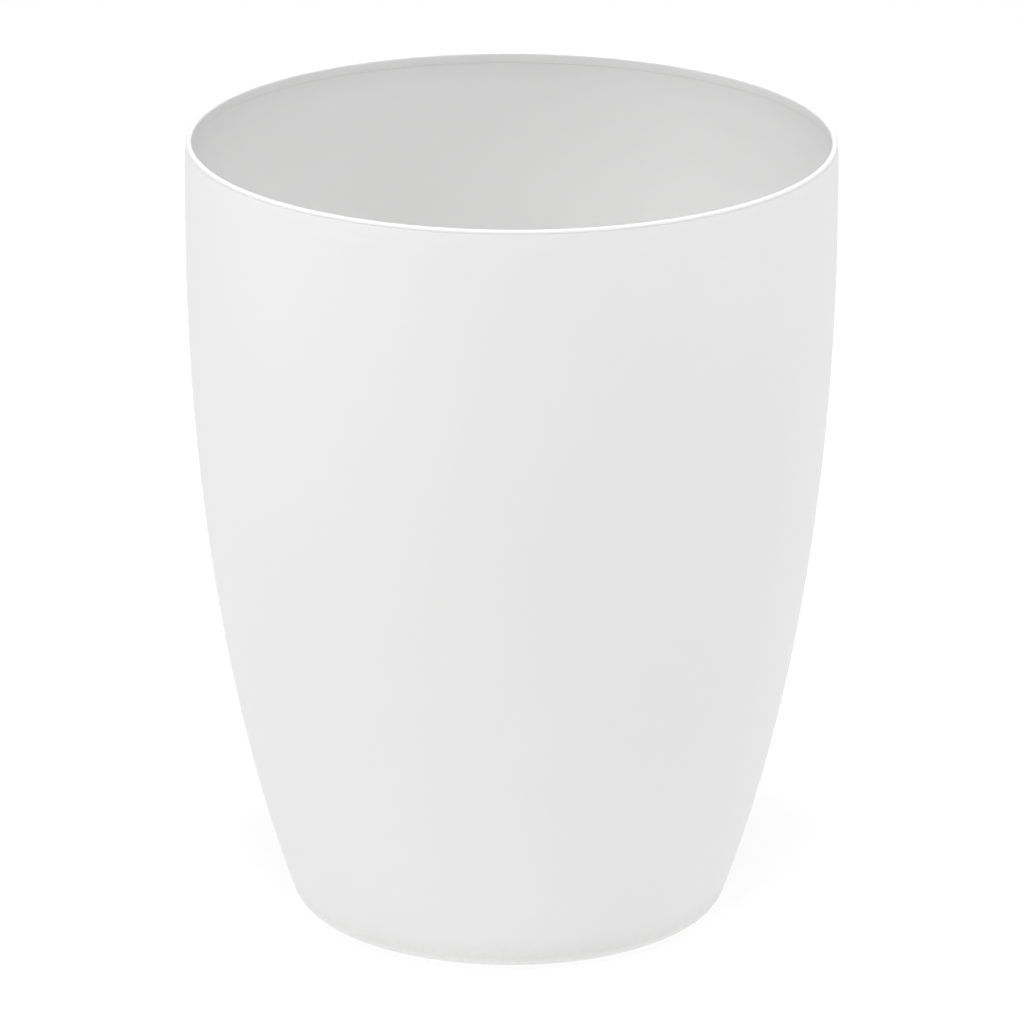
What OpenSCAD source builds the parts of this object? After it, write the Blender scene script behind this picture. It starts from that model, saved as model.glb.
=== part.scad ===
// Round office wastebasket: a moulded tub with a bellied side wall, a bag ring whose flange
// covers the tub's stepped top edge, and four non-slip pads seated under the base.
// The origin is the centre of the base on the floor, +Z is up and -Y is the front.

/* [Overall size] */
// Height from the floor to the top of the bag ring
height = 310; // [230:1:400]
// Outside diameter at the mouth
mouth_d = 250; // [205:1:340]
// Outside diameter that the side wall would reach at floor level
base_d = 165; // [130:1:200]
// Height of the straight band under the top edge
straight_h = 34; // [15:1:60]
// How far below the floor the side wall's curve would turn under: less gives a rounder belly
curve_below = 108; // [60:1:300]

/* [Wall and base] */
// Thickness of the side wall
wall_t = 2.4; // [2:0.1:3.2]
// Thickness of the floor
floor_t = 2.4; // [1.8:0.1:3.6]
// Outside rounding between the side wall and the foot
base_round = 9; // [5:0.5:14]
// Width of the flat of the foot ring
foot_flat = 5; // [3:0.5:9]
// Rounding on the inside edge of the foot ring
foot_round = 3; // [1.5:0.5:4]
// Height of the hollow under the floor
recess_h = 7; // [6.5:0.5:12]
// Rounding in the top corner of that hollow
recess_round = 2; // [1:0.5:2.5]

/* [Underside ribs] */
// Number of ribs from the hub to the foot ring
rib_count = 8; // [4:4:16]
// Thickness of a rib
rib_t = 1.6; // [1:0.1:2.4]
// How far a rib hangs below the floor
rib_h = 3.5; // [2:0.5:5]
// Diameter of the hub at the middle
hub_d = 22; // [14:1:34]
// Diameter of the gate mark left at the middle of the hub
gate_d = 5; // [3:0.5:8]
// How far the gate mark stands out of the hub
gate_h = 0.6; // [0.3:0.1:1]

/* [Top edge] */
// How far the side wall turns in again at the top
turn_in = 0.6; // [0:0.1:1]
// Height over which it turns in
turn_h = 12; // [8:1:14]
// Rounding on the outer edge of the tub's top, the lower half of the seam line
edge_round = 0.3; // [0.2:0.1:0.6]

/* [Bag ring] */
// Thickness of the flange that covers the tub's top edge
flange_t = 1.4; // [1.3:0.1:3]
// Rounding along both top edges of the flange
flange_round = 0.9; // [0.5:0.1:0.9]
// Broken lower edge of the flange, the upper half of the seam line
flange_break = 0.15; // [0.1:0.05:0.3]
// Thickness of the skirt, which hangs in the tub's stepped edge with its inner face flush
skirt_t = 0.8; // [0.6:0.1:0.9]
// How far the skirt hangs below the flange
skirt_drop = 2.8; // [2:0.1:6]
// Clearance between the skirt and the tub's stepped edge
ring_clear = 0.25; // [0.1:0.05:0.3]
// Open space under the skirt
step_gap = 0.05; // [0.05:0.05:0.5]

/* [Foot pads] */
// Diameter of a pad
pad_d = 12; // [8:0.5:16]
// Thickness of a pad
pad_t = 2; // [1.6:0.1:3]
// How far a pad stands out below the foot ring
pad_proud = 0.8; // [0.5:0.1:1.2]
// Clearance round a pad in its seat
pad_clear = 0.1; // [0.05:0.05:0.3]
// Wall of the boss around a pad's seat
boss_wall = 2; // [1.2:0.1:3]
// Rounding on a pad's lower edge
pad_round = 0.4; // [0.2:0.1:0.5]

/* [Hidden] */
$fn = 144;

mouth_r = mouth_d / 2;
curve_top = height - straight_h;
curve_h = curve_top + curve_below;
belly = (mouth_r - base_d / 2) / (1 - sqrt(1 - pow(curve_top / curve_h, 2)));

turn_z = height - turn_h;

rim_z = height - flange_t;
rim_r = wall_r(rim_z);
skirt_z = rim_z - skirt_drop;
step_z = skirt_z - step_gap;
step_touch = step_z - wall_t * sin(lean(step_z));
ring_in_r = wall_point(step_touch, wall_t)[0];
skirt_r = ring_in_r + skirt_t;
step_r = skirt_r + ring_clear;

foot_z = pad_proud;
trough_z = foot_z + floor_t;
recess_z = foot_z + recess_h;
floor_z = recess_z + floor_t;
trough_round = base_round - wall_t;
step_round = max(foot_round - wall_t, 0.3);
rise_round = recess_round + wall_t;

outer_touch = touch_z(foot_z, 0, base_round);
inner_touch = touch_z(trough_z, wall_t, trough_round);
foot_r = wall_point(outer_touch, base_round)[0];
recess_r = foot_r - foot_flat - foot_round;

boss_d = pad_d + 2 * (pad_clear + boss_wall);
pad_circle_r = recess_r + wall_t / 2 - boss_d / 2;
seat_z = foot_z + pad_t - pad_proud;
bond = 1;
wall_steps = 30;
turn_steps = 6;
arc_steps = 8;

white = [0.92, 0.92, 0.92];
ring_white = [0.95, 0.95, 0.95];
rubber_grey = [0.35, 0.36, 0.37];

// The side wall's outer radius at height z: an elliptical arc below curve_top, straight above it,
// and turned in a little at the very top
function drop(z) = max(curve_top - z, 0);
function turn(z) = max(z - turn_z, 0) / turn_h;
function arc_span(z) = sqrt(pow(curve_h, 2) - pow(drop(z), 2));
function wall_r(z) = mouth_r - belly * (1 - arc_span(z) / curve_h) - turn_in * pow(turn(z), 2);
function slope(z) = belly * drop(z) / (curve_h * arc_span(z)) - 2 * turn_in * turn(z) / turn_h;
function lean(z) = atan(slope(z));

// The point at depth t inside the wall, square to the outer surface at height z
function wall_point(z, t) = [wall_r(z) - t * cos(lean(z)), z + t * sin(lean(z))];

// Height on the outer surface where a fillet of radius r meets the face at depth t,
// when the fillet also touches the level plane at height h
function touch_z(h, t, r, turns = 12) =
    turns == 0 ? h + r : h + r - (t + r) * sin(lean(touch_z(h, t, r, turns - 1)));

function arc(c, r, from, to) =
    [for (i = [0:arc_steps]) let (a = from + (to - from) * i / arc_steps) c + r * [cos(a), sin(a)]];

function levels(from, to, steps) = [for (i = [0:steps]) from + (to - from) * i / steps];

function wall_line(from, to, t) =
    [for (z = concat(levels(from, curve_top, wall_steps), levels(turn_z, to, turn_steps))) wall_point(z, t)];

function reversed(list) = [for (i = [len(list) - 1:-1:0]) list[i]];

// Foot corner between the side wall's face at depth t and the level plane that it stands on
function foot_corner(touch, t, r) = arc(wall_point(touch, t + r), r, -90, -lean(touch));

module shell_section() {
    polygon(concat(
        [[0, recess_z]],
        arc([recess_r - recess_round, recess_z - recess_round], recess_round, 90, 0),
        arc([recess_r + foot_round, foot_z + foot_round], foot_round, 180, 270),
        foot_corner(outer_touch, 0, base_round),
        wall_line(outer_touch, rim_z - edge_round, 0),
        arc([rim_r - edge_round, rim_z - edge_round], edge_round, 0, 90),
        [[step_r, rim_z], [step_r, step_z]],
        reversed(wall_line(inner_touch, step_touch, wall_t)),
        reversed(foot_corner(inner_touch, wall_t, trough_round)),
        arc([recess_r + wall_t + step_round, trough_z + step_round], step_round, 270, 180),
        arc([recess_r + wall_t - rise_round, floor_z - rise_round], rise_round, 0, 90),
        [[0, floor_z]]
    ));
}

module underside_rib(angle) {
    rotate([0, 0, angle])
        translate([0, -rib_t / 2, recess_z - rib_h])
            cube([recess_r + bond, rib_t, rib_h + bond]);
}

module at_pad(angle) {
    rotate([0, 0, angle])
        translate([pad_circle_r, 0, 0])
            children();
}

module hub() {
    translate([0, 0, recess_z - rib_h])
        cylinder(d = hub_d, h = rib_h + bond);
    translate([0, 0, recess_z - rib_h - gate_h])
        cylinder(d = gate_d, h = rib_h);
}

module shell() {
    color(white)
    difference() {
        union() {
            rotate_extrude()
                shell_section();
            for (i = [0:rib_count - 1])
                underside_rib(i * 360 / rib_count);
            hub();
            for (a = [45:90:315])
                at_pad(a)
                    translate([0, 0, foot_z])
                        cylinder(d = boss_d, h = recess_h + bond);
        }
        for (a = [45:90:315])
            at_pad(a)
                translate([0, 0, foot_z - bond])
                    cylinder(d = pad_d + 2 * pad_clear, h = seat_z - foot_z + bond);
    }
}

module bag_ring() {
    color(ring_white)
    rotate_extrude()
        polygon(concat(
            [[skirt_r, skirt_z], [skirt_r, rim_z]],
            [[rim_r - flange_break, rim_z], [rim_r, rim_z + flange_break]],
            arc([rim_r - flange_round, height - flange_round], flange_round, 0, 90),
            arc([ring_in_r + flange_round, height - flange_round], flange_round, 90, 180),
            [[ring_in_r, skirt_z]]
        ));
}

module foot_pad(angle) {
    color(rubber_grey)
    at_pad(angle)
        rotate_extrude()
            polygon(concat(
                [[0, 0]],
                arc([pad_d / 2 - pad_round, pad_round], pad_round, -90, 0),
                [[pad_d / 2, pad_t], [0, pad_t]]
            ));
}

shell();
bag_ring();
foot_pad(225);  // pad_front_left
foot_pad(315);  // pad_front_right
foot_pad(135);  // pad_back_left
foot_pad(45);  // pad_back_right
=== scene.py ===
import math
import bmesh
import bpy
from mathutils import Matrix, Vector


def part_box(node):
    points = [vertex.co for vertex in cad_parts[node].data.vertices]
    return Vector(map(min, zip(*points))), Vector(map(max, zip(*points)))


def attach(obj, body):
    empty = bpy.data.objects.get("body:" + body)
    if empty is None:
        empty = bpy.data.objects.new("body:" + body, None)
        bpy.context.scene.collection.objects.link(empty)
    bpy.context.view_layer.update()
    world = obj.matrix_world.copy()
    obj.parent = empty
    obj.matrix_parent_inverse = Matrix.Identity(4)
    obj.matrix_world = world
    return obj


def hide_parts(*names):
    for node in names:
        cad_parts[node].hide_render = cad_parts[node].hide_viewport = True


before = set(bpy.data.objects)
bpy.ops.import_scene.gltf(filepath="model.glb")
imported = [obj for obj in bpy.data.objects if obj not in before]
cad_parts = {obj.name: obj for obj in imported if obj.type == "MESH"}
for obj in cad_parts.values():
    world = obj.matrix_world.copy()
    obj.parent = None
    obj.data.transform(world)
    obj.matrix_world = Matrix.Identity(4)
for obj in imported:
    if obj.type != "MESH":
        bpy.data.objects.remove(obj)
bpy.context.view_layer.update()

shellLow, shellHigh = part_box("shell")
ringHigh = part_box("bag_ring")[1]


# camera

shot = {
    "back": 2.7928,                          # how far in front of the basket the camera stands
    "up": 1.1101,                            # and how far above the table
    "aimUp": 0.1587,                         # height on the basket's axis that it looks at
    "lens": 266.9,
    "sensor": 36.0,
    "roll": 0.209,                           # degrees
    "shift": 0.0015,                         # sideways, in frame widths
}


def pointAt(thing, target):
    way = Vector(target) - thing.location
    thing.rotation_mode = "QUATERNION"
    thing.rotation_quaternion = way.to_track_quat("-Z", "Y")


def makeCamera():
    lens = bpy.data.cameras.new("camera")
    camera = bpy.data.objects.new("camera", lens)
    bpy.context.scene.collection.objects.link(camera)
    lens.lens = shot["lens"]
    lens.sensor_width = shot["sensor"]
    lens.shift_x = shot["shift"]
    lens.dof.use_dof = False
    camera.location = (0, -shot["back"], shot["up"])
    pointAt(camera, (0, 0, shot["aimUp"]))
    turn = Matrix.Rotation(math.radians(shot["roll"]), 3, "Z").to_quaternion()
    camera.rotation_quaternion = camera.rotation_quaternion @ turn
    bpy.context.scene.camera = camera


makeCamera()
print("camera placed")


# shader maths

class Wire:                                  # an output socket that can stand in a Python sum
    def __init__(self, finish, socket):
        self.finish = finish
        self.socket = socket

    def __add__(self, other):
        return self.finish.maths("ADD", self, other)

    def __radd__(self, other):
        return self.finish.maths("ADD", other, self)

    def __sub__(self, other):
        return self.finish.maths("SUBTRACT", self, other)

    def __rsub__(self, other):
        return self.finish.maths("SUBTRACT", other, self)

    def __mul__(self, other):
        return self.finish.maths("MULTIPLY", self, other)

    def __rmul__(self, other):
        return self.finish.maths("MULTIPLY", other, self)


class Finish:                                # the nodes of a material or of the world
    def __init__(self, owner):
        owner.use_nodes = True
        self.owner = owner
        self.tree = owner.node_tree
        self.tree.nodes.clear()
        self.coordinates = None

    def node(self, kind, settings=None, sockets=None, out=0):
        made = self.tree.nodes.new(kind)
        for name, value in (settings or {}).items():
            setattr(made, name, value)
        for name, value in (sockets or {}).items():
            if isinstance(value, Wire):
                self.tree.links.new(value.socket, made.inputs[name])
            else:
                made.inputs[name].default_value = value
        return Wire(self, made.outputs[out]) if len(made.outputs) else made

    def place(self):                         # the point on the piece, made once for all that use it
        if self.coordinates is None:
            self.coordinates = self.node("ShaderNodeTexCoord", out="Object")
        return self.coordinates

    def scaled(self, stretch):
        sockets = {0: self.place(), 1: stretch}
        return self.node("ShaderNodeVectorMath", {"operation": "MULTIPLY"}, sockets)

    def height(self):
        return self.node("ShaderNodeSeparateXYZ", None, {"Vector": self.place()}, "Z")

    def outward(self):                       # distance from the basket's axis
        flat = self.scaled((1, 1, 0))
        return self.node("ShaderNodeVectorMath", {"operation": "LENGTH"}, {0: flat}, "Value")

    def maths(self, operation, *values):
        return self.node("ShaderNodeMath", {"operation": operation}, dict(enumerate(values)))

    def noise(self, scale, detail, roughness, stretch=(1, 1, 1)):
        sockets = {"Vector": self.scaled(stretch), "Scale": scale, "Detail": detail}
        sockets["Roughness"] = roughness
        return self.node("ShaderNodeTexNoise", None, sockets)

    def ease(self, value, start, end, low=0.0, high=1.0):
        sockets = {"Value": value, "From Min": start, "From Max": end}
        sockets.update({"To Min": low, "To Max": high})
        return self.node("ShaderNodeMapRange", {"interpolation_type": "SMOOTHSTEP"}, sockets)

    def tint(self, amount, first, second):
        return self.node("ShaderNodeMix", {"data_type": "RGBA"}, {0: amount, 6: first, 7: second}, 2)

    def bump(self, height, depth, strength=1.0, under=None):
        sockets = {"Height": height, "Distance": depth, "Strength": strength}
        if under is not None:
            sockets["Normal"] = under
        return self.node("ShaderNodeBump", None, sockets)

    def close(self, sockets):
        shader = self.node("ShaderNodeBsdfPrincipled", None, sockets)
        self.node("ShaderNodeOutputMaterial", None, {"Surface": shader})
        return self.owner


def grey(level, warmth=0.0):                 # warmth is the share moved from blue to red
    return (level * (1 + warmth), level, level * (1 - warmth), 1.0)


# plastic of the basket and of its ring

shellLook = {
    "white": (0.905, 0.001),                 # how light, and how warm
    "shade": (0.892, 0.002),                 # the mottle's darker end
    "speckShade": (0.892, 0.004),
    "scuff": (0.78, 0.006),
    "soil": (0.66, 0.02),                    # dust in the trough and round the foot
    "roughness": 0.40,
    "ior": 1.49,
    "mottle": (7, 3, 0.55),                  # a noise's scale, detail and roughness
    "mottleBand": (0.30, 0.70),              # the part of a noise that its colour runs over
    "speck": (420, 2, 0.6),
    "speckBand": (0.55, 0.80),
    "speckShare": 0.25,
    "streak": (1, 3, 0.6, (260, 260, 9)),    # upright marks, as left by stacking
    "streakBand": (0.64, 0.82),
    "streakShare": 0.12,
    "rub": (1, 4, 0.65, (14, 14, 520)),      # thin marks that run round
    "rubBand": (0.60, 0.76),
    "rubDepth": 0.00001,
    "rubStrength": 0.6,
    "footRub": (0.004, 0.040),               # heights between which the marks fade
    "footRubShare": 0.8,
    "mouthRub": (0.285, 0.306),
    "mouthRubShare": 0.25,
    "dishHeight": (0.002, 0.016),            # where dust settles
    "dishRadius": (0.045, 0.078),
    "dustBand": (0.55, 1.0),
    "dustSpeck": 0.5,
    "markTint": 0.35,
    "dustTint": 0.30,
    "mottleRough": 0.10,
    "speckRough": 0.06,
    "markRough": 0.12,
    "dustRough": 0.25,
    "grainSize": 0.0007,
    "grainDepth": 0.000012,
    "grainStrength": 0.8,
    "grainNoise": (2, 0.5),                  # detail and roughness
    "waveSize": 0.035,
    "waveDepth": 0.00006,
    "waveNoise": (1, 0.4),
}

ringLook = dict(shellLook, soil=(0.89, 0.02), scuff=(0.83, 0.006), roughness=0.50)


def mouldedPlastic(name, look):
    finish = Finish(bpy.data.materials.new(name))
    mottle = finish.noise(*look["mottle"])
    speck = finish.noise(*look["speck"])
    streak = finish.noise(*look["streak"])
    rub = finish.noise(*look["rub"])
    grain = finish.noise(1 / look["grainSize"], *look["grainNoise"])
    wave = finish.noise(1 / look["waveSize"], *look["waveNoise"])
    height = finish.height()
    nearFoot = finish.ease(height, *look["footRub"], 1, 0)
    nearMouth = finish.ease(height, *look["mouthRub"])
    inDish = finish.ease(height, *look["dishHeight"], 1, 0)
    inDish = inDish * finish.ease(finish.outward(), *look["dishRadius"])
    rubbed = nearFoot * look["footRubShare"] + nearMouth * look["mouthRubShare"]
    marks = finish.ease(rub, *look["rubBand"]) * rubbed
    marks = marks + finish.ease(streak, *look["streakBand"]) * look["streakShare"]
    dust = inDish * finish.ease(mottle + speck * look["dustSpeck"], *look["dustBand"])
    patches = finish.ease(mottle, *look["mottleBand"])
    specks = finish.ease(speck, *look["speckBand"]) * look["speckShare"]
    colour = finish.tint(patches, grey(*look["shade"]), grey(*look["white"]))
    colour = finish.tint(specks, colour, grey(*look["speckShade"]))
    colour = finish.tint(marks * look["markTint"], colour, grey(*look["scuff"]))
    colour = finish.tint(dust * look["dustTint"], colour, grey(*look["soil"]))
    rough = look["roughness"] + (mottle - 0.5) * look["mottleRough"]
    rough = rough + (speck - 0.5) * look["speckRough"]
    rough = rough + marks * look["markRough"] + dust * look["dustRough"]
    normal = finish.bump(wave, look["waveDepth"])
    normal = finish.bump(grain, look["grainDepth"], look["grainStrength"], normal)
    normal = finish.bump(rub * marks, look["rubDepth"], look["rubStrength"], normal)
    return finish.close({
        "Base Color": colour,
        "Roughness": rough,
        "Normal": normal,
        "IOR": look["ior"],
    })


# rubber of the pads

rubberLook = {
    "light": (0.34, 0.0),
    "dark": (0.24, 0.0),
    "dust": (0.48, 0.03),
    "roughness": 0.72,
    "ior": 1.52,
    "patch": (140, 3, 0.6),
    "patchRough": 0.16,
    "powder": (300, 4, 0.7),
    "powderBand": (0.52, 0.72),
    "powderHeight": (0.0, 0.0012),           # most of the dust is on the sole
    "powderAbove": 0.2,
    "dustTint": 0.5,
    "dustRough": 0.12,
    "grainSize": 0.0004,
    "grainDepth": 0.00004,
    "grainNoise": (3, 0.6),
}


def padRubber(name, look):
    finish = Finish(bpy.data.materials.new(name))
    patch = finish.noise(*look["patch"])
    grain = finish.noise(1 / look["grainSize"], *look["grainNoise"])
    dust = finish.ease(finish.noise(*look["powder"]), *look["powderBand"])
    dust = dust * finish.ease(finish.height(), *look["powderHeight"], 1, look["powderAbove"])
    colour = finish.tint(patch, grey(*look["dark"]), grey(*look["light"]))
    colour = finish.tint(dust * look["dustTint"], colour, grey(*look["dust"]))
    rough = look["roughness"] + (patch - 0.5) * look["patchRough"] + dust * look["dustRough"]
    return finish.close({
        "Base Color": colour,
        "Roughness": rough,
        "Normal": finish.bump(grain, look["grainDepth"]),
        "IOR": look["ior"],
    })


shellPlastic = mouldedPlastic("shellPlastic", shellLook)
ringPlastic = mouldedPlastic("ringPlastic", ringLook)
rubber = padRubber("rubber", rubberLook)
print("materials made:", len(bpy.data.materials))


# turned shapes

onAxis = 1e-7                                # a radius below this is on the axis
creaseAngle = 32                             # degrees; a sharper edge is drawn as an edge


def arc(centre, radius, start, end, steps=10):
    points = []
    for step in range(steps + 1):
        angle = math.radians(start + (end - start) * step / steps)
        across = centre[0] + radius * math.cos(angle)
        points.append((across, centre[1] + radius * math.sin(angle)))
    return points


# an outline of radius and height pairs, spun about an upright axis
def turned(name, outline, turns, middle=(0, 0)):
    mesh = bmesh.new()
    rows = []
    for radius, height in outline:
        if radius < onAxis:
            rows.append([mesh.verts.new((middle[0], middle[1], height))] * turns)
            continue
        row = []
        for step in range(turns):
            angle = 2 * math.pi * step / turns
            across = middle[0] + radius * math.cos(angle)
            along = middle[1] + radius * math.sin(angle)
            row.append(mesh.verts.new((across, along, height)))
        rows.append(row)
    if outline[0][0] > onAxis:
        rows.append(rows[0])                 # a ring's outline closes on itself
    for low, high in zip(rows, rows[1:]):
        for step in range(turns):
            nextStep = (step + 1) % turns
            corners = [low[step], low[nextStep], high[nextStep], high[step]]
            mesh.faces.new(list(dict.fromkeys(corners)))
    bmesh.ops.recalc_face_normals(mesh, faces=mesh.faces)
    return meshObject(name, mesh)


def meshObject(name, mesh):
    data = bpy.data.meshes.new(name)
    mesh.to_mesh(data)
    mesh.free()
    made = bpy.data.objects.new(name, data)
    bpy.context.scene.collection.objects.link(made)
    return made


def join(base, extra):                       # adds a closed solid to a closed solid
    union = base.modifiers.new("join", "BOOLEAN")
    union.operation = "UNION"
    union.solver = "MANIFOLD"
    union.object = extra
    bpy.context.view_layer.update()
    graph = bpy.context.evaluated_depsgraph_get()
    result = bpy.data.meshes.new_from_object(base.evaluated_get(graph))
    base.modifiers.clear()
    base.data = result
    bpy.data.objects.remove(extra)


def finishPiece(piece, material, body, slot, *nodes):
    piece.data.materials.clear()
    piece.data.materials.append(material)
    piece.data.shade_smooth()
    piece.data.set_sharp_from_angle(angle=math.radians(creaseAngle))
    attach(piece, body)
    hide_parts(*nodes)


# the basket's shell

shell = {
    "baseWidth": 0.165,                      # where the wall's curve would reach the ground
    "straight": 0.034,                       # upright stretch under the mouth
    "curveBelow": 0.108,                     # how far the curve would run on below the ground
    "wall": 0.0024,
    "floor": 0.0024,
    "baseRound": 0.009,
    "footFlat": 0.005,
    "footRound": 0.003,
    "recess": 0.007,                         # how far the floor is raised inside the foot
    "recessRound": 0.002,
    "turnIn": 0.0006,                        # how far the wall comes in again at the mouth
    "turnHeight": 0.012,
    "edgeRound": 0.0003,
    "stepRound": 0.0006,                     # inside the foot ring, at the bottom of the trough
    "turns": 288,
    "wallSteps": 64,
    "turnSteps": 12,
    "innerTurnSteps": 8,
    "cornerSteps": 16,
    "edgeSteps": 6,
    "touchTries": 20,
}

ring = {
    "flangeRound": 0.0009,
    "flangeBreak": 0.00015,                  # the broken lower edge, which makes the seam
    "skirt": 0.0008,                         # its inner face is flush with the wall's
    "skirtDrop": 0.0028,
    "skirtRound": 0.00002,
    "clear": 0.00025,
    "stepGap": 0.00005,
    "turns": 288,
    "flangeSteps": 12,
    "skirtSteps": 4,
}

topZ = ringHigh.z
rimZ = shellHigh.z
footZ = shellLow.z
mouthR = shellHigh.x
curveTop = topZ - shell["straight"]
curveHeight = curveTop + shell["curveBelow"]
turnZ = topZ - shell["turnHeight"]
baseShare = math.sqrt(curveHeight ** 2 - curveTop ** 2) / curveHeight
belly = (mouthR - shell["baseWidth"] / 2) / (1 - baseShare)


def wallRadius(height):
    drop = max(curveTop - height, 0)
    turn = max(height - turnZ, 0) / shell["turnHeight"]
    share = math.sqrt(curveHeight ** 2 - drop ** 2) / curveHeight
    return mouthR - belly * (1 - share) - shell["turnIn"] * turn ** 2


def wallLean(height):                        # how far the wall tips out from upright, in radians
    drop = max(curveTop - height, 0)
    turn = max(height - turnZ, 0) / shell["turnHeight"]
    span = math.sqrt(curveHeight ** 2 - drop ** 2)
    slope = belly * drop / (curveHeight * span) - 2 * shell["turnIn"] * turn / shell["turnHeight"]
    return math.atan(slope)


def wallPoint(height, depth):                # a point that far in from the wall's outer face
    lean = wallLean(height)
    return (wallRadius(height) - depth * math.cos(lean), height + depth * math.sin(lean))


def touchHeight(level, depth, radius):       # where a rounding that rests on a level meets the wall
    height = level
    for attempt in range(shell["touchTries"]):
        height = level + radius - (depth + radius) * math.sin(wallLean(height))
    return height


def footCorner(level, depth, radius):
    touch = touchHeight(level, depth, radius)
    lean = math.degrees(wallLean(touch))
    return touch, arc(wallPoint(touch, depth + radius), radius, -90, -lean, shell["cornerSteps"])


rimR = ringHigh.x
skirtZ = rimZ - ring["skirtDrop"]
stepZ = skirtZ - ring["stepGap"]
stepTouch = stepZ - shell["wall"] * math.sin(wallLean(stepZ))
ringInR = wallPoint(stepTouch, shell["wall"])[0]
skirtR = ringInR + ring["skirt"]
stepR = skirtR + ring["clear"]
troughZ = footZ + shell["floor"]
recessZ = footZ + shell["recess"]
floorZ = recessZ + shell["floor"]
outerTouch, outerCorner = footCorner(footZ, 0, shell["baseRound"])
innerTouch, innerCorner = footCorner(troughZ, shell["wall"], shell["baseRound"] - shell["wall"])
footR = outerCorner[0][0]
recessR = footR - shell["footFlat"] - shell["footRound"]
riseRound = shell["recessRound"] + shell["wall"]


def heights(start, end, steps):
    return [start + (end - start) * step / steps for step in range(steps + 1)]


def shellOutline():
    turnedIn = heights(turnZ, rimZ - shell["edgeRound"], shell["turnSteps"])
    outerHeights = heights(outerTouch, turnZ, shell["wallSteps"])[1:] + turnedIn[1:]
    outer = [wallPoint(height, 0) for height in outerHeights]
    innerHeights = heights(innerTouch, turnZ, shell["wallSteps"])[1:]
    innerHeights += heights(turnZ, stepTouch, shell["innerTurnSteps"])[1:]
    inner = [wallPoint(height, shell["wall"]) for height in innerHeights]
    trough = recessR + shell["wall"]
    rise, foot, edge = shell["recessRound"], shell["footRound"], shell["edgeRound"]
    stepRound = shell["stepRound"]
    edgeSteps = shell["edgeSteps"]
    points = [(0, recessZ)]
    points += arc((recessR - rise, recessZ - rise), rise, 90, 0)
    points += arc((recessR + foot, footZ + foot), foot, 180, 270)
    points += outerCorner
    points += outer
    points += arc((wallRadius(rimZ) - edge, rimZ - edge), edge, 0, 90, edgeSteps)
    points += [(stepR, rimZ), (stepR, stepZ)]
    points += inner[::-1]
    points += innerCorner[::-1]
    points += arc((trough + stepRound, troughZ + stepRound), stepRound, 270, 180, edgeSteps)
    points += arc((trough - riseRound, floorZ - riseRound), riseRound, 0, 90)
    points += [(0, floorZ)]
    return [point for point, before in zip(points, [None] + points) if point != before]


# what stands under the floor

under = {
    "ribs": 8,
    "ribRoot": 0.0016,
    "ribTip": 0.0012,
    "ribHeight": 0.0035,
    "ribStart": 0.0055,                      # distance from the axis, inside the hub
    "ribSink": 0.0012,                       # how far ribs, hub and bosses run into the floor
    "rootRound": 0.0009,
    "rootSteps": 6,
    "tipRound": 0.0004,
    "tipSteps": 5,
    "hub": 0.022,
    "hubTurns": 96,
    "gate": 0.005,                           # the mark left in the middle of the hub
    "gateHeight": 0.0006,
    "gateRound": 0.0002,
    "gateSteps": 4,
    "bossWall": 0.002,
    "bossTurns": 72,
    "padClear": 0.0001,
}


def ribSection():                            # half of a rib across, from its root to its middle
    root = under["ribRoot"] / 2
    tip = under["ribTip"] / 2
    low = recessZ - under["ribHeight"]
    flare, edge = under["rootRound"], under["tipRound"]
    section = [(root + flare, recessZ + under["ribSink"])]
    section += arc((root + flare, recessZ - flare), flare, 90, 180, under["rootSteps"])
    section += arc((tip - edge, low + edge), edge, 0, -90, under["tipSteps"])
    return section


def addRibs(base):
    half = ribSection()
    section = half + [(-across, height) for across, height in half[::-1]]
    end = recessR + shell["wall"] / 2
    for count in range(under["ribs"]):
        mesh = bmesh.new()
        ends = []
        for along in (under["ribStart"], end):
            ends.append([mesh.verts.new((along, across, height)) for across, height in section])
        for corner in range(len(section)):
            following = (corner + 1) % len(section)
            sides = (ends[0][corner], ends[0][following], ends[1][following], ends[1][corner])
            mesh.faces.new(sides)
        mesh.faces.new(ends[0])
        mesh.faces.new(ends[1])
        bmesh.ops.recalc_face_normals(mesh, faces=mesh.faces)
        turn = Matrix.Rotation(2 * math.pi * count / under["ribs"], 3, "Z")
        bmesh.ops.rotate(mesh, verts=mesh.verts, matrix=turn)
        join(base, meshObject("rib", mesh))


def footFlare(radius):                       # where a hub or a boss runs out into the floor
    flare = under["rootRound"]
    top = recessZ + under["ribSink"]
    outline = arc((radius + flare, recessZ - flare), flare, 180, 90, under["rootSteps"])
    return outline + [(radius + flare, top), (0, top)]


def addHub(base):
    low = recessZ - under["ribHeight"]
    gateLow = low - under["gateHeight"]
    radius = under["hub"] / 2
    gateR = under["gate"] / 2
    edge, gateEdge = under["tipRound"], under["gateRound"]
    outline = [(0, gateLow)]
    outline += arc((gateR - gateEdge, gateLow + gateEdge), gateEdge, -90, 0, under["gateSteps"])
    outline += [(gateR, low)]
    outline += arc((radius - edge, low + edge), edge, -90, 0, under["tipSteps"])
    join(base, turned("hub", outline + footFlare(radius), under["hubTurns"]))


def addBosses(base):
    edge, steps = under["tipRound"], under["tipSteps"]
    for name in padNames:
        low, high, middle, radius = padPlace(name)
        seatR = radius + under["padClear"]
        bossR = seatR + under["bossWall"]
        outline = [(0, high), (seatR, high)]
        outline += arc((seatR + edge, footZ + edge), edge, 180, 270, steps)
        outline += arc((bossR - edge, footZ + edge), edge, -90, 0, steps)
        join(base, turned("boss", outline + footFlare(bossR), under["bossTurns"], middle))


padNames = [name for name in sorted(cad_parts) if name.startswith("pad_")]


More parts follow.
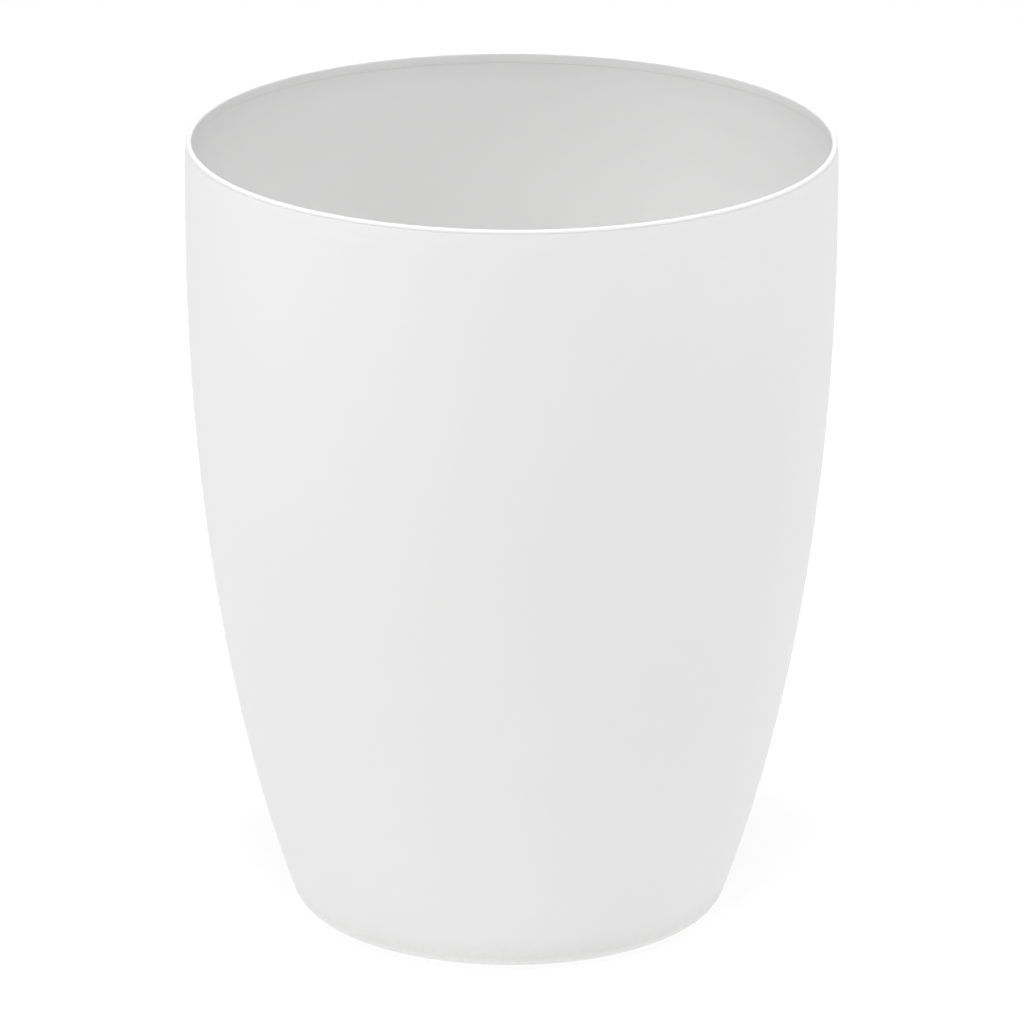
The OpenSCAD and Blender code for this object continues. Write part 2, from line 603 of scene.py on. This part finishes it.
def padPlace(name):                          # a pad's lowest and highest height, middle and radius
    low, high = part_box(name)
    middle = ((low.x + high.x) / 2, (low.y + high.y) / 2)
    return low.z, high.z, middle, (high.x - low.x) / 2


def makeShell():
    tub = turned("tub", shellOutline(), shell["turns"])
    addRibs(tub)
    addHub(tub)
    addBosses(tub)
    finishPiece(tub, shellPlastic, "basket", "shell_plastic", "shell")
    print("shell made:", len(tub.data.polygons), "faces")


def makeRing():
    bend, edge, broken = ring["flangeRound"], ring["skirtRound"], ring["flangeBreak"]
    bendSteps, edgeSteps = ring["flangeSteps"], ring["skirtSteps"]
    low = skirtZ + edge
    outline = [(skirtR, rimZ), (rimR - broken, rimZ), (rimR, rimZ + broken)]
    outline += arc((rimR - bend, topZ - bend), bend, 0, 90, bendSteps)
    outline += arc((ringInR + bend, topZ - bend), bend, 90, 180, bendSteps)
    outline += arc((ringInR + edge, low), edge, 180, 270, edgeSteps)
    outline += arc((skirtR - edge, low), edge, 270, 360, edgeSteps)
    hoop = turned("bagRing", outline, ring["turns"])
    finishPiece(hoop, ringPlastic, "ring", "ring_plastic", "bag_ring")
    print("ring made:", len(hoop.data.polygons), "faces")


# pads under the base

pad = {
    "edgeRound": 0.0004,
    "grooveWidth": 0.0006,                   # of the two rings pressed into its sole
    "grooveAt": (0.0022, 0.0041),
    "steps": 6,
    "turns": 72,
}


def makePads():
    edge, grooveR, steps = pad["edgeRound"], pad["grooveWidth"] / 2, pad["steps"]
    for name in padNames:
        low, high, middle, radius = padPlace(name)
        outline = [(0, low)]
        for at in pad["grooveAt"]:
            outline += arc((at, low), grooveR, 180, 0, steps)
        outline += arc((radius - edge, low + edge), edge, -90, 0, steps)
        outline += [(radius, high), (0, high)]
        words = [word.capitalize() for word in name.split("_")[1:]]
        sole = turned("pad" + "".join(words), outline, pad["turns"], middle)
        finishPiece(sole, rubber, "basket", "pad_rubber", name)
    print("pads made:", len(padNames))


makeShell()
makeRing()
makePads()


# floor and light

studio = {
    "floor": 0.30,
    "floorGlow": 0.75,                       # the table is lit from inside, so its shadows stay pale
    "floorRoughness": 0.9,
    "floorShine": 0.1,
    "floorSize": 30.0,
    "sky": 0.2,                              # soft light from all round
    "paper": 1.0,                            # how bright the background looks
    "lampFar": 3.0,
    "lampSize": 1.6,
}

# round from the front and above the table are in degrees, and power is in watts
lamps = {
    "frontLeft": {"round": -45, "above": 30, "power": 13},
    "upperFront": {"round": 0, "above": 65, "power": 31.5},
    "right": {"round": 90, "above": 25, "power": 8},
    "upperLeft": {"round": -90, "above": 60, "power": 24},
    "upperRight": {"round": 90, "above": 60, "power": 21},
    "top": {"round": 0, "above": 90, "power": 18.5},
}


def makeFloor():
    mesh = bmesh.new()
    bmesh.ops.create_grid(mesh, x_segments=1, y_segments=1, size=studio["floorSize"] / 2)
    floor = meshObject("floor", mesh)
    finish = Finish(bpy.data.materials.new("litTable"))
    top = finish.node("ShaderNodeBsdfPrincipled", None, {
        "Base Color": grey(studio["floor"]),
        "Roughness": studio["floorRoughness"],
        "Specular IOR Level": studio["floorShine"],
        "Emission Color": grey(1),
        "Emission Strength": studio["floorGlow"],
    })
    clear = finish.node("ShaderNodeBsdfTransparent")        # so the base shows from below
    fromBelow = finish.node("ShaderNodeNewGeometry", out="Backfacing")
    sheet = finish.node("ShaderNodeMixShader", None, {0: fromBelow, 1: top, 2: clear})
    finish.node("ShaderNodeOutputMaterial", None, {"Surface": sheet})
    floor.data.materials.append(finish.owner)


def makeSky():
    world = bpy.data.worlds.new("studio")
    sky = Finish(world)
    white = {"Color": grey(1)}
    soft = sky.node("ShaderNodeBackground", None, {**white, "Strength": studio["sky"]})
    paper = sky.node("ShaderNodeBackground", None, {**white, "Strength": studio["paper"]})
    seen = sky.node("ShaderNodeLightPath", out="Is Camera Ray")
    both = sky.node("ShaderNodeMixShader", None, {0: seen, 1: soft, 2: paper})
    sky.node("ShaderNodeOutputWorld", None, {"Surface": both})
    bpy.context.scene.world = world


def makeLamps():
    for name, lamp in lamps.items():
        light = bpy.data.lights.new(name, "AREA")
        light.shape = "DISK"
        light.size = studio["lampSize"]
        light.energy = lamp["power"]
        stand = bpy.data.objects.new(name, light)
        bpy.context.scene.collection.objects.link(stand)
        around = math.radians(lamp["round"])
        above = math.radians(lamp["above"])
        level = math.cos(above)
        way = Vector((math.sin(around) * level, -math.cos(around) * level, math.sin(above)))
        middle = Vector((0, 0, topZ / 2))
        stand.location = middle + way * studio["lampFar"]
        stand.visible_camera = False
        pointAt(stand, middle)


makeFloor()
makeSky()
makeLamps()
bpy.context.scene.view_settings.view_transform = "Standard"
print("studio ready, lamps:", len(lamps))
